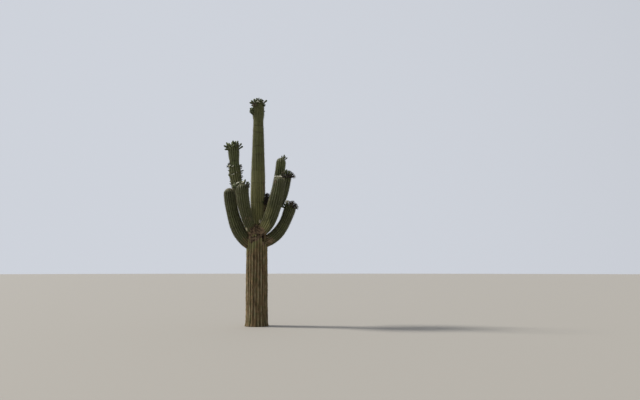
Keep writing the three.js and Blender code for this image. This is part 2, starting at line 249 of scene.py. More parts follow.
class Limb:
    """A ribbed limb: its rings from root to pole, and the points of its skin."""

    def __init__(self, ribs, sideways, centre, heading, radius, relief, run, bands, seed):
        self.ribs = ribs
        self.shift = LIMB_SHIFT * seed
        self.bands = bands
        self.shoulder = len(run) - 1
        rise = radius[-1] * DOME_HEIGHT
        steps = math.ceil(radius[-1] * math.pi / 2 / RING_STEP)
        turn = np.linspace(0, math.pi / 2, steps + 1)[1:]
        self.centre = np.vstack([centre, centre[-1] + heading[-1] * rise * np.sin(turn)[:, None]])
        self.heading = np.vstack([heading, np.repeat(heading[-1:], steps, 0)])
        self.radius = np.append(radius, radius[-1] * np.cos(turn))
        self.relief = np.append(relief, relief[-1] * np.cos(turn) ** 2)
        self.run = np.append(run, run[-1] + radius[-1] * turn)
        self.dome = np.append(np.zeros(len(run)), turn / (math.pi / 2))
        across = self.heading @ sideways
        self.side = unit(sideways - self.heading * across[:, None])
        self.front = np.cross(self.heading, self.side)

    def shape_skin(self, age_of):
        """Works out the skin's points, ring by ring, and the values that its material reads."""
        rings, ribs = len(self.run), self.ribs
        pitch = 2 * math.pi / ribs
        rib_at, run_at = np.arange(ribs) * RIB_APART, self.run[:, None] * RIB_WAVES
        rib_keys = np.stack(np.broadcast_arrays(rib_at, run_at, 0.5), -1)
        steady = 1 - self.dome[:, None] ** 2
        crest_angle = np.arange(ribs) * pitch
        crest_angle = crest_angle + noise(rib_keys, 1, self.shift) * RIB_WANDER * pitch * steady
        variety = 1 + RIB_VARIETY * noise(rib_keys, 1, self.shift + 5.5)

        share = np.arange(COLUMNS) / COLUMNS
        following = np.roll(crest_angle, -1, 1)
        following[:, -1] += 2 * math.pi
        angle = crest_angle[..., None] * (1 - share) + following[..., None] * share
        depth = variety[..., None] * (1 - share) + np.roll(variety, -1, 1)[..., None] * share
        fall = (1 - abs(2 * share - 1)) ** CREST_ROUNDNESS
        angle = angle.reshape(rings, -1)
        fall = np.tile(fall, ribs)[None, :]
        radius = self.radius[:, None]
        reach = radius * (1 - self.relief[:, None] * depth.reshape(rings, -1) * fall)

        size = float(np.median(self.radius))
        run = np.broadcast_to(self.run[:, None], angle.shape)
        flow = np.stack([np.cos(angle) * size, np.sin(angle) * size, run], -1)
        out = np.cos(angle)[..., None] * self.side[:, None] + np.sin(angle)[..., None] * self.front[:, None]
        points = self.centre[:, None] + out * reach[..., None]
        age, scar = age_of(points, flow), patches(SCARS, points, flow)

        crestness = np.clip(1 - fall * AREOLE_WIDTH, 0, 1) ** 2
        phase = (np.arange(rings)[:, None] + np.arange(ribs * COLUMNS)[None, :] // COLUMNS) % 2
        fade = np.clip(self.radius / size, 0, 1)[:, None]
        bump = AREOLE_BUMP * phase * crestness * (1 - 0.6 * age)
        swell = SWELL * noise(flow, SWELL_WAVES, self.shift)
        fissure = np.abs(noise(flow, FISSURE_WAVES, self.shift + 2))
        fissure = fissure + 0.4 * noise(flow, FINE_FISSURE_WAVES, 3.1)
        rough = noise(flow, SCAR_WAVES[0], self.shift + 8) + 0.6 * noise(flow, SCAR_WAVES[1], self.shift)
        along_limb = flow[..., 2] + BAND_WAVER * noise(flow, BAND_WAVER_WAVES, self.shift + 4)
        band = sum(np.exp(-(((along_limb - at) / BAND_WIDTH) ** 2)) for at in self.bands)
        band = band * (0.55 + 0.45 * noise(flow, BAND_FADE_WAVES, self.shift + 6)) * (1 - age) * steady
        reach = reach - fade * BAND_DEPTH * band
        reach = reach + fade * (bump + swell - age * FISSURE_DEPTH * fissure + scar * SCAR_ROUGHNESS * rough)
        self.points = self.centre[:, None] + out * reach[..., None]
        self.values = {
            "crest": np.broadcast_to(1 - fall, angle.shape),
            "age": age,
            "scar": scar,
            "tip": np.broadcast_to(self.dome[:, None], angle.shape),
            "pit": np.zeros(angle.shape),
            "band": band,
            "young": smoothstep(*YOUNG_SKIN, points[..., 2]),
            "pale": patches(PALE_AND_LIT_PATCHES, points, flow),
            "callus": patches(CALLUS_AND_RIB_HIGHLIGHTS, points, flow),
            "flow": flow,
        }

    def skin(self, name, material):
        """The skin as one closed mesh object."""
        rings, around = self.points.shape[0] - 1, self.points.shape[1]
        body = self.points[:-1].reshape(-1, 3)
        points = np.vstack([body, self.centre[0], self.centre[-1]])
        values = {}
        for key, data in self.values.items():
            flat = data.reshape((-1, 3) if key == "flow" else -1)
            values[key] = np.concatenate([flat[: len(body)], flat[:1], flat[-1:]])
        return mesh_object(name, points, tube_faces(rings, around), material, values)

    def areoles(self):
        """Where the areoles sit: point, skin normal, direction along the rib, and the skin's values."""
        crest = self.points[:, ::COLUMNS]
        left, right = self.points[:, COLUMNS - 1 :: COLUMNS], self.points[:, 1::COLUMNS]
        left = np.roll(left, 1, 1)
        upwards = np.gradient(crest, axis=0)
        upwards[-2] = upwards[-3]
        normal = np.cross(right - left, upwards)
        phase = (np.arange(len(self.run))[:, None] + np.arange(self.ribs)[None, :]) % 2
        chosen = phase.astype(bool)
        chosen[0] = chosen[-2:] = False
        chosen[self.radius * 2 * math.pi / self.ribs < CROWDED] = False
        values = {key: self.values[key][:, ::COLUMNS][chosen] for key in ("age", "scar", "tip")}
        return crest[chosen], unit(normal[chosen]), unit(upwards[chosen]), values

    def ring_at(self, height):
        """The ring whose middle is nearest to a height."""
        return int(np.argmin(abs(self.centre[: self.shoulder, 2] - height)))

    def place(self, azimuth, polar, lift, at=None):
        """Foot and aim of a flower. polar is its angle from upright, and past 90 it goes down the side."""
        ring = self.shoulder if at is None else at
        normal = direction(azimuth, 90 - min(polar, 90))
        below = self.radius[ring] * math.radians(max(polar - 90, 0))
        foot = self.centre[ring] + normal * (self.radius[ring] - FLOWER_SINK) - self.heading[ring] * below
        return foot, unit(normal + UP * lift)


def trunk_limb():
    """The trunk, whose old foot has shallow ribs."""
    heights = np.arange(0, TRUNK_RADIUS[-1][0], RING_STEP)
    centre = np.stack([along(TRUNK_DRIFT, heights), 0 * heights, heights], -1)
    grown = smoothstep(0, CORKY_TOP, heights)
    relief = CORKY_RELIEF + (FURROW_RELIEF - CORKY_RELIEF) * grown
    heading = np.repeat(UP[None], len(heights), 0)
    radius = along(TRUNK_RADIUS, heights)
    return Limb(TRUNK_RIBS, RIGHT, centre, heading, radius, relief, heights, TRUNK_BANDS, 0)


def arm_limb(arm, seed):
    """An arm on a cubic curve, from its root inside the trunk to its tip."""
    start = direction(arm["azimuth"], 0) * ROOT_DISTANCE + UP * arm["height"]
    end = np.array(arm["tip"], float)
    chord = np.linalg.norm(end - start)
    setting_out = direction(arm["azimuth"], arm["rise"]) * chord * arm["bend"][0]
    arriving = direction(arm["lean_azimuth"], 90 - arm["lean"]) * chord * arm["bend"][1]
    corners = start, start + setting_out, end - arriving, end
    t = np.linspace(0, 1, PATH_SAMPLES)[:, None]
    weights = (1 - t) ** 3, 3 * t * (1 - t) ** 2, 3 * t * t * (1 - t), t**3
    path = sum(weight * corner for weight, corner in zip(weights, corners))
    length_so_far = np.append(0, np.cumsum(np.linalg.norm(np.diff(path, axis=0), axis=1)))
    length = length_so_far[-1]
    tip_radius = arm["radius"][-1][1]
    run = np.arange(-ROOT_SINK, length - DOME_HEIGHT * tip_radius, RING_STEP)
    inside = np.clip(run, 0, None)
    centre = np.stack([np.interp(inside, length_so_far, path[:, i]) for i in range(3)], -1)
    tangent = np.gradient(path, axis=0)
    heading = unit(np.stack([np.interp(inside, length_so_far, tangent[:, i]) for i in range(3)], -1))
    centre += heading * np.minimum(run, 0)[:, None]
    radius = along(arm["radius"], inside / length)
    relief = np.full(len(run), FURROW_RELIEF)
    sideways = direction(arm["azimuth"] + 90, 0)
    bands = [(share + BAND_STAGGER * seed) * length for share in ARM_BANDS]
    return Limb(arm["ribs"], sideways, centre, heading, radius, relief, run, bands, seed)


# Flowers. Outlines are (radius, distance from the foot), and the foot is sunk in the skin.
FLOWER_SINK = 0.03
STRAY_LIFT = 0.6
BUD_OUTLINE = (
    (0, 0), (0.014, 0), (0.0155, 0.05), (0.018, 0.08), (0.0235, 0.108), (0.0245, 0.128), (0.018, 0.145),
    (0.007, 0.155), (0, 0.157),
)
TUBE_OUTLINE = (
    (0, 0), (0.012, 0), (0.0125, 0.045), (0.015, 0.08), (0.022, 0.104), (0.027, 0.114), (0.025, 0.114),
    (0.016, 0.096), (0, 0.088),
)
FRUIT_OUTLINE = (
    (0, 0), (0.013, 0), (0.016, 0.045), (0.0215, 0.07), (0.0225, 0.092), (0.015, 0.112), (0.007, 0.12),
    (0, 0.121),
)
PETAL_TIP_OUTLINE = (
    (0, 0.118), (0.0225, 0.12), (0.0265, 0.132), (0.02, 0.15), (0.008, 0.163), (0, 0.165),
)
FLOWER_LENGTH = 0.15
STEM_SIDES = 10

# Scales: heights of their rows, half their width, how far their tips stand off, and how far their feet
# sink in and swell out.
SCALE_ROWS = (0.044, 0.06, 0.076, 0.092, 0.108)
SCALES_IN_ROW = 8
SCALE_LENGTH = 0.016
SCALE_WIDTH = 0.0075
SCALE_STANDS = 0.0035
SCALE_SINK = 0.001
SCALE_SWELL = 0.003

# Petals: whorls of (count, length, width, angle from the axis at the foot and at the tip). Each whorl
# stands inside the last, and a petal's edges are folded up by a share of its width.
THROAT_RADIUS = 0.0255
THROAT_HEIGHT = 0.112
WHORL_INSET = 0.12
PETAL_WIDTHS = (0.5, 0.8, 1.0, 0.95, 0.5)
PETAL_FOLD = 0.35
OUTER_PETALS = ((9, 0.022, 0.012, 60, 150),)
OUTER_TURN = 0.2
INNER_PETALS = ((12, 0.036, 0.02, 26, 104), (12, 0.032, 0.018, 12, 76))
WITHERED_PETALS = ((9, 0.05, 0.014, 60, 190), (6, 0.045, 0.013, 20, 95))

# Stamens: a ring inside the throat, with ranges of lean and of length. ANTHER is a radius.
STAMENS = 54
STAMEN_SEED = 3
STAMEN_RING = 0.55
STAMEN_FOOT = 0.096
STAMEN_LENGTH = 0.03
STAMEN_LEAN = (4, 42)
STAMEN_VARIETY = (0.75, 1.1)
FILAMENT = (0.0007, 0.001)
ANTHER = 0.0016


def revolve(outline):
    """Points and triangles of an outline turned round +Z. Its first and last points are on the axis."""
    turn = np.arange(STEM_SIDES) * 2 * math.pi / STEM_SIDES
    ring = np.stack([np.cos(turn), np.sin(turn), 0 * turn], -1)
    rings = [ring * r + UP * z for r, z in outline[1:-1]]
    points = np.vstack([*rings, UP * outline[0][1], UP * outline[-1][1]])
    return points, tube_faces(len(rings), STEM_SIDES)


def away_and_across(turn):
    """Level unit vectors away from the axis and across it, at an angle in radians."""
    away = np.array([math.cos(turn), math.sin(turn), 0])
    return away, np.cross(UP, away)


def joined(parts):
    """One set of points and triangles from several."""
    points, faces, count = [], [], 0
    for p, f in parts:
        points.append(p)
        faces.append(f + count)
        count += len(p)
    return np.vstack(points), np.vstack(faces)


# A slender piece of four faces: three corners round the foot, then the tip.
TETRA = np.array([[0, 1, 3], [1, 2, 3], [2, 0, 3], [0, 2, 1]])


def tetras(corners):
    """Points and triangles of slender pieces, from their corners as (piece, corner, 3)."""
    count = len(corners)
    return corners.reshape(-1, 3), (TETRA[None] + 4 * np.arange(count)[:, None, None]).reshape(-1, 3)


def scales(outline):
    """Small pointed scales round a flower's stem, in rows that overlap."""
    radii, heights = np.array(outline[1:-1]).T
    corners = []
    for row, height in enumerate(SCALE_ROWS):
        for k in range(SCALES_IN_ROW):
            out, across = away_and_across(2 * math.pi * (k + 0.5 * (row % 2)) / SCALES_IN_ROW)
            foot = out * (np.interp(height, heights, radii) - SCALE_SINK) + UP * height
            top = height + SCALE_LENGTH
            tip = out * (np.interp(top, heights, radii) + SCALE_STANDS) + UP * top
            side = across * SCALE_WIDTH
            corners.append([foot + side, foot - side, foot + out * SCALE_SWELL, tip])
    return tetras(np.array(corners))


def petals(whorls, turn_by=0.0):
    """Whorls of petals that stand on the throat, each a strip that curves outwards and has a fold."""
    parts = []
    steps = len(PETAL_WIDTHS)
    firsts = [row * 3 + side for row in range(steps - 1) for side in (0, 1)]
    faces = np.array([t for a in firsts for t in ((a, a + 1, a + 4), (a, a + 4, a + 3))])
    for whorl, (count, length, width, start, end) in enumerate(whorls):
        lean = np.radians(np.linspace(start, end, steps))
        step = length / (steps - 1)
        out = THROAT_RADIUS * (1 - WHORL_INSET * whorl) + np.append(0, np.cumsum(np.sin(lean[:-1]) * step))
        height = THROAT_HEIGHT + np.append(0, np.cumsum(np.cos(lean[:-1]) * step))
        for k in range(count):
            away, across = away_and_across(turn_by + 2 * math.pi * (k + 0.5 * (whorl % 2)) / count)
            half = (np.array(PETAL_WIDTHS) * width / 2)[:, None]
            middle = out[:, None] * away + height[:, None] * UP
            fold = half * PETAL_FOLD * UP
            rows = np.stack([middle - across * half + fold, middle, middle + across * half + fold], 1)
            parts.append((rows.reshape(-1, 3), faces))
    return joined(parts)


# A grain of eight faces, for an anther or a felt pad.
OCTA = np.array([[0, 2, 4], [2, 1, 4], [1, 3, 4], [3, 0, 4], [2, 0, 5], [1, 2, 5], [3, 1, 5], [0, 3, 5]])
OCTA_POINTS = np.array([[1, 0, 0], [-1, 0, 0], [0, 1, 0], [0, -1, 0], [0, 0, 1], [0, 0, -1]], float)


def stamens():
    """A dense ring of pale filaments in the throat, each with an anther."""
    draws = np.random.default_rng(STAMEN_SEED)
    wide, deep = FILAMENT
    parts = []
    for _ in range(STAMENS):
        out, across = away_and_across(draws.uniform(0, 2 * math.pi))
        lean = math.radians(draws.uniform(*STAMEN_LEAN))
        foot = out * THROAT_RADIUS * STAMEN_RING + UP * STAMEN_FOOT
        aim = out * math.sin(lean) + UP * math.cos(lean)
        tip = foot + aim * STAMEN_LENGTH * draws.uniform(*STAMEN_VARIETY)
        side = across * wide
        parts.append(tetras(np.array([[foot + side, foot - side, foot + out * deep, tip]])))
        parts.append((tip + OCTA_POINTS * ANTHER, OCTA))
    return joined(parts)


NEARLY_UPRIGHT = 0.9


def frames(aims, spins):
    """Rotation matrices that turn +Z to each aim, spun about it."""
    helper = np.where(abs(aims[:, 2:]) > NEARLY_UPRIGHT, RIGHT, UP)
    x = unit(np.cross(helper, aims))
    y = np.cross(aims, x)
    turned = x * np.cos(spins)[:, None] + y * np.sin(spins)[:, None]
    return np.stack([turned, np.cross(aims, turned), aims], -1)


def copies(template, feet, turns, sizes):
    """Copies of a template's points and triangles, each at its foot, turned and sized."""
    points, faces = template
    placed = feet[:, None] + np.einsum("nij,kj->nki", turns, points) * sizes[:, None, None]
    offsets = len(points) * np.arange(len(feet))
    return placed.reshape(-1, 3), (faces[None] + offsets[:, None, None]).reshape(-1, 3)


# Crowns: number of flowers on the spiral, the angles from upright that they stand between, how much they
# turn upwards from the skin, and their sizes at the middle and the rim. A crown on part of a tip has a
# side, and a spread to either hand of it. open, swelling, withered and shrivelled are shares, mostly on
# the side given by the azimuth after them. shown lists the flowers that stand out, by kind, as azimuth,
# angle from upright, how much they turn upwards, and size. Some blooms turn to the light, and have the
# azimuth and rise of their faces after that.
CROWNS = {
    "trunk": {
        "count": 32, "polar": (8, 84), "lift": 0.8, "size": (0.5, 0.86), "open": (0.03, 90),
        "swelling": (0.16, 180), "withered": (0.05, 0),
        "shown": {
            "open": (
                (-90, 93, 0, 0.8, -120, 45), (-75, 91, 0, 0.52, -100, 45), (-20, 74, 0, 0.55, -80, 45),
            ),
            "bud": (
                (0, 72, 0.6, 1.2), (-120, 86, 0.6, 1.15), (-140, 92, 0.6, 1.15), (-158, 92, 0.4, 1.1),
                (164, 80, 0.4, 1.05), (-30, 100, 0.2, 0.75), (-46, 98, 0.3, 0.8), (-66, 84, 0.9, 0.9),
                (-92, 78, 1.2, 0.8), (-148, 108, 0.1, 0.8),
            ),
            "swelling": ((-128, 76, 0.8, 0.95), (-150, 84, 0.7, 1.0)),
            "withered": ((-132, 104, 0.2, 0.85), (-114, 106, 0.1, 0.8)),
        },
    },
    "left_tall_arm": {
        "count": 26, "polar": (8, 84), "lift": 0.9, "size": (0.7, 0.96), "open": (0.04, 90),
        "swelling": (0.25, -110), "withered": (0.08, 0),
        "shown": {
            "bud": (
                (-168, 64, 0.9, 1.2), (-176, 82, 0.5, 1.25), (-150, 98, 0.2, 0.9), (170, 94, 0.2, 0.95),
                (-5, 68, 0.9, 1.2), (-35, 92, 0.3, 1.0), (10, 80, 0.5, 1.15), (-95, 56, 1.5, 1.2),
                (-42, 52, 1.5, 1.2), (-72, 86, 0.9, 0.9), (90, 50, 1.4, 1.15),
            ),
            "swelling": (
                (-70, 56, 1.5, 1.1), (-130, 76, 1.0, 1.0), (-112, 84, 1.0, 0.95), (-90, 86, 1.0, 0.9),
            ),
        },
    },
    "left_front_arm": {
        "count": 24, "polar": (20, 88), "lift": 1.0, "size": (0.95, 1.15), "side": 96, "spread": 80,
        "open": (0.08, 90), "swelling": (0.2, 180), "shrivelled": (0.1, -30),
        "shown": {
            "open": ((20, 30, 0, 0.9, -140, 55), (178, 48, 0, 0.75, -150, 45), (152, 32, 0, 0.8, -150, 50)),
            "bud": (
                (-16, 24, 1.6, 1.1), (60, 36, 1.4, 1.25), (-176, 64, 0.9, 1.05), (-178, 80, 0.6, 1.15),
                (165, 84, 0.4, 1.2), (38, 52, 1.0, 1.15), (-5, 64, 1.0, 0.95),
            ),
            "withered": ((176, 92, 0.2, 1.1),),
            "shrivelled": ((-48, 74, 0.3, 0.85), (46, 66, 0.6, 1.1)),
            "swelling": ((-6, 48, 1.0, 0.95), (95, 42, 1.2, 1.0)),
        },
    },
    "right_tall_arm": {
        "count": 3, "polar": (30, 46), "lift": 0.6, "size": (0.7, 0.8), "side": 30, "spread": 60,
        "shown": {
            "bud": ((-70, 22, 0.4, 0.7), (-20, 40, 2.2, 1.05), (-8, 56, 0.2, 0.9)),
        },
    },
    "right_front_arm": {
        "count": 4, "polar": (30, 52), "lift": 1.2, "size": (0.55, 0.65), "side": 80, "spread": 60,
        "shown": {
            "open": (
                (136, 44, 0, 0.72, -140, 62), (95, 40, 0, 0.7, -140, 62), (52, 41, 0, 0.72, -140, 62),
                (20, 50, 0, 0.7, -140, 62),
            ),
        },
    },
    "right_slim_arm": {
        "count": 16, "polar": (10, 92), "lift": 0.9, "size": (1.0, 1.1), "shrivelled": (0.4, 0),
        "withered": (0.1, 180),
        "shown": {
            "bud": (
                (-120, 52, 1.0, 1.2), (-106, 40, 1.2, 1.2), (-70, 68, 1.0, 1.2), (-60, 84, 0.7, 1.1),
                (170, 80, 0.4, 1.1),
            ),
            "shrivelled": (
                (-44, 98, 0.3, 1.2), (-90, 100, 0.4, 1.05), (-116, 96, 0.3, 1.15), (-138, 88, 0.1, 1.15),
                (-66, 100, 0.4, 1.1),
            ),
            "withered": ((-20, 88, 0.2, 1.2),),
        },
    },
    "right_low_arm": {
        "count": 20, "polar": (8, 76), "lift": 0.75, "size": (0.95, 1.06), "withered": (0.6, 0),
        "shown": {
            "open": ((-116, 50, 0, 1.4, -112, 48),),
            "bud": (
                (150, 30, 1.2, 0.9), (-126, 74, 0.6, 1.15), (-150, 80, 0.3, 1.05), (-100, 82, 0.5, 1.0),
            ),
            "withered": (
                (-8, 62, 0.8, 1.08), (-6, 74, 0.35, 1.03), (-80, 54, 1.2, 1.15), (-12, 30, 1.5, 1.15),
            ),
            "shrivelled": ((-40, 66, 0.8, 1.1), (-60, 78, 0.4, 1.1), (12, 80, 0.2, 0.92)),
        },
    },
    "stub": {
        "count": 34, "polar": (10, 250), "lift": 0.5, "size": (0.85, 1.0), "shrivelled": (0.9, 0),
        "shown": {
            "swelling": ((190, 50, 0.8, 0.9),),
            "shrivelled": (
                (20, 30, 1.2, 1.2), (-40, 40, 1.2, 1.15), (-100, 40, 1.2, 1.1), (60, 60, 0.8, 1.1),
                (-10, 72, 0.6, 1.2), (-56, 84, 0.4, 1.15), (-20, 110, 0.1, 1.1), (-64, 130, 0.1, 1.1),
                (-100, 110, 0.3, 1.0),
            ),
        },
    },
}
KIND_SHARES = ("open", "swelling", "withered", "shrivelled")
GOLDEN_ANGLE = 137.508
POLAR_JITTER = 3.0
AIM_JITTER = 0.16
KIND_JITTER = 0.6
SIZE_RANGE = (0.86, 1.1)
CLOSEST_TO_SHOWN = 0.022

# The collar: flowers round the waist of one arm, at a share of its length.
COLLAR_LIMB = "left_tall_arm"
COLLAR_AT = 0.709
COLLAR = {
    "count": 13, "polar": (84, 98), "lift": 0.5, "size": (0.62, 0.78), "open": (0.1, 90),
    "withered": (0.3, 0),
    "shown": {
        "shrivelled": ((-150, 78, 0.9, 0.8), (178, 92, 0.2, 0.85)),
        "open": ((-140, 110, 0, 0.8, -140, 45), (-105, 110, 0, 0.6, -120, 45)),
        "swelling": ((-80, 104, 0.5, 0.6),),
        "bud": ((-30, 88, 0.5, 0.8), (-60, 98, 0.5, 0.6), (-164, 84, 0.7, 0.75)),
    },
}

# Single flowers low on a limb's side: azimuth, height, kind and size.
STRAYS = {
    "trunk": (
        (196, 6.6, "bud", 1.0), (214, 6.57, "swelling", 0.9), (176, 6.54, "bud", 1.0),
        (200, 6.47, "bud", 0.9), (220, 6.5, "bud", 0.9), (186, 6.66, "open", 0.6), (204, 6.54, "bud", 1.05),
        (226, 6.6, "bud", 0.85), (188, 6.5, "bud", 1.0), (210, 6.43, "bud", 0.7), (170, 6.6, "bud", 0.9),
        (-30, 6.54, "bud", 0.55), (-24, 6.72, "bud", 0.6),
    ),
    "left_tall_arm": (
        (-10, 4.83, "withered", 0.5), (-4, 4.74, "bud", 0.75), (-20, 4.66, "bud", 0.6),
        (-12, 4.55, "bud", 0.55), (184, 4.33, "bud", 0.6),
    ),
}

# Small flowers scattered over part of a limb: limb, kind, number, and ranges of height and size.
SCATTERED = (
    ("left_tall_arm", "bud", 60, (4.22, 4.86), (0.34, 0.5)),
    ("left_tall_arm", "open", 14, (4.58, 4.86), (0.3, 0.4)),
)


def crown_flowers(limb, crown, at=None):
    """(kind, foot, aim, size) of each flower of a crown: a spiral, and the flowers that stand out."""
    low, high = crown["polar"]
    count = crown["count"]
    turns = (np.arange(count) * GOLDEN_ANGLE + 180) % 360 - 180
    azimuths = crown.get("side", 0) + turns * crown.get("spread", 180) / 180
    outwards = np.sqrt((np.arange(count) + 0.5) / count)
    polars = low + (high - low) * outwards + rng.uniform(-1, 1, count) * POLAR_JITTER
    spots = [limb.place(azimuth, polar, crown["lift"], at) for azimuth, polar in zip(azimuths, polars)]
    feet = np.array([foot for foot, aim in spots])
    aims = unit(np.array([aim for foot, aim in spots]) + rng.uniform(-1, 1, (count, 3)) * AIM_JITTER)
    kinds = np.full(count, "bud", dtype=object)
    offsets = feet - feet.mean(0)
    for kind in KIND_SHARES:
        share, towards = crown.get(kind, (0, 0))
        pull = rng.uniform(0, KIND_JITTER, count) + offsets @ direction(towards, 0) / np.abs(offsets).max()
        pull = np.where(kinds == "bud", pull, -np.inf)
        kinds[np.argsort(-pull)[: round(share * count)]] = kind
    inner, outer = crown["size"]
    sizes = (inner + (outer - inner) * outwards) * rng.uniform(*SIZE_RANGE, count)
    flowers = list(zip(kinds, feet, aims, sizes))
    for kind, places in crown["shown"].items():
        for azimuth, polar, lift, size, *face in places:
            foot, aim = limb.place(azimuth, polar, lift, at)
            aim = direction(*face) if face else aim
            flowers = [flower for flower in flowers if np.linalg.norm(flower[1] - foot) > CLOSEST_TO_SHOWN]
            flowers.append((kind, foot, aim, size))
    return flowers


def stray_flower(limb, azimuth, height, kind, size):
    """One flower on the side of a limb, at a height."""
    ring = limb.ring_at(height)
    out = direction(azimuth, 0)
    foot = limb.centre[ring] + out * (limb.radius[ring] - FLOWER_SINK * min(size, 1))
    return kind, foot, unit(out + limb.heading[ring] * STRAY_LIFT), size


# Spines, on felt pads: a fan of radials, and centrals of which the last points down. Lengths, rises from
# the skin in degrees and radii are ranges, and a tint is (name, share, colour).
PAD_SIZE = (0.0062, 0.0052, 0.003)
RADIALS = 6
CENTRALS = 3
TURN_JITTER = 0.06
DOWN_JITTER = 0.5
RADIAL_RISE = (14, 38)
CENTRAL_RISE = (48, 86)
DOWN_RISE = (5, 50)
RADIAL_LENGTH = (0.013, 0.026)
CENTRAL_LENGTH = (0.026, 0.05)
SPINE_RADIUS = (0.0006, 0.001)
SPINE_FOOT = 0.0012
SPINE_TINTS = (
    ("straw", 0.4, (0.4, 0.35, 0.23)),
    ("grey", 0.36, (0.27, 0.25, 0.2)),
    ("dark", 0.24, (0.07, 0.05, 0.035)),
)


def spines_on(points, normals, upwards, size):
    """Spines of each areole as (areole, spine, corner, 3): a fan of radials, and longer centrals."""
    count = len(points)
    many = RADIALS + CENTRALS
    turn = (np.arange(many) / RADIALS + rng.uniform(-TURN_JITTER, TURN_JITTER, (count, many))) * 2 * math.pi
    rise = np.radians(rng.uniform(*RADIAL_RISE, (count, many)))
    length = rng.uniform(*RADIAL_LENGTH, (count, many))
    rise[:, RADIALS:] = np.radians(rng.uniform(*CENTRAL_RISE, (count, CENTRALS)))
    length[:, RADIALS:] = rng.uniform(*CENTRAL_LENGTH, (count, CENTRALS))
    turn[:, -1] = math.pi * 1.5 + rng.uniform(-DOWN_JITTER, DOWN_JITTER, count)
    rise[:, -1] = np.radians(rng.uniform(*DOWN_RISE, count))
    length = length * size[:, None]
    across = np.cross(upwards, normals)[:, None]
    points, normals, upwards = points[:, None], normals[:, None], upwards[:, None]
    level = np.cos(turn)[..., None] * across + np.sin(turn)[..., None] * upwards
    aim = np.cos(rise)[..., None] * level + np.sin(rise)[..., None] * normals
    width = rng.uniform(*SPINE_RADIUS, (count, many))[..., None]
    sidewise = unit(np.cross(aim, normals + 0.3 * across))
    other = np.cross(aim, sidewise)
    foot = points + normals * SPINE_FOOT
    angles = (math.pi / 2, math.pi * 7 / 6, math.pi * 11 / 6)
    base = [foot + width * (sidewise * math.cos(a) + other * math.sin(a)) for a in angles]
    return np.stack([*base, foot + aim * length[..., None]], 2)


# Materials. Tints are multiplied in.
SKIN_GLOSS = 0.28
# Painted light: the stem is painted a paler green below a height, where the arms shade it, and in the pale
# patches.
PAINTED_LIGHT_FROM = 0.8
PALE_AND_LIT_GREEN = (0.29, 0.285, 0.12)
BLOTCH_TINT = (0.55, 0.55, 0.5)
STREAK_TINT = (0.68, 0.65, 0.55)
BAND_SHADE_TINT = (0.42, 0.38, 0.34)
SPECK_COLOUR = (0.2, 0.18, 0.1)
TIP_COLOUR = (0.2, 0.19, 0.11)
BARK_COLOURS = (0.06, 0.041, 0.02), (0.28, 0.196, 0.1)
BARK_GREEN = (0.12, 0.115, 0.045)
BARK_TINT = (0.5, 0.42, 0.34)
BARK_FOOT_TINT = (0.84, 0.83, 0.83)
BARK_FURROW_SHADE = (0.025, 0.018, 0.011)
BARK_CREST = (0.34, 0.3, 0.19)
SCAB_COLOURS = (0.05, 0.034, 0.02), (0.27, 0.195, 0.125)
CALLUS_AND_HIGHLIGHT_COLOUR = (0.58, 0.54, 0.41)
# The near-black inside the pits is painted shade.
PIT_SHADE_COLOUR = (0.008, 0.006, 0.005)


class Nodes:
    """The nodes of a material or a world, with short calls for the kinds that are used here."""

    def __init__(self, owner, shader="Principled BSDF"):
        self.owner = owner
        owner.use_nodes = True
        self.tree = owner.node_tree
        self.shader = self.tree.nodes[shader]

    def add(self, kind, **settings):
        node = self.tree.nodes.new(kind)
        for key, value in settings.items():
            setattr(node, key, value)
        return node

    def set(self, socket, value):
        if isinstance(value, bpy.types.NodeSocket):
            self.tree.links.new(value, socket)
        elif isinstance(value, tuple) and socket.type == "RGBA":
            socket.default_value = (*value, 1)
        else:
            socket.default_value = value

    def fill(self, node, output, **values):
        """Sets a node's inputs by name, and gives one of its outputs."""
        for key, value in values.items():
            self.set(node.inputs[key], value)
        return node.outputs[output]

    def attribute(self, name, output="Fac"):
        return self.add("ShaderNodeAttribute", attribute_name=name).outputs[output]

    def noise(self, where, scale, detail, roughness):
        node = self.add("ShaderNodeTexNoise")
        return self.fill(node, "Fac", Vector=where, Scale=scale, Detail=detail, Roughness=roughness)

    def stretch(self, where, factors):
        node = self.add("ShaderNodeVectorMath", operation="MULTIPLY")
        self.set(node.inputs[0], where)
        self.set(node.inputs[1], factors)
        return node.outputs["Vector"]

    def math(self, operation, a, b):
        node = self.add("ShaderNodeMath", operation=operation)
        self.set(node.inputs[0], a)
        self.set(node.inputs[1], b)
        return node.outputs["Value"]

    def ramp(self, value, low, high, start=0.0, end=1.0):
        node = self.add("ShaderNodeMapRange", interpolation_type="SMOOTHSTEP")
        for socket, number in zip(node.inputs, (value, low, high, start, end)):
            self.set(socket, number)
        return node.outputs["Result"]

    def mix(self, factor, a, b, blend="MIX"):
        node = self.add("ShaderNodeMix", data_type="RGBA", blend_type=blend)
        return self.fill(node, "Result", Factor=factor, A=a, B=b)

    def ragged(self, value, edge, amount):
        """A value that a pattern from 0 to 1 pushes up and down by half an amount."""
        return self.math("ADD", value, self.math("MULTIPLY", self.math("SUBTRACT", edge, 0.5), amount))


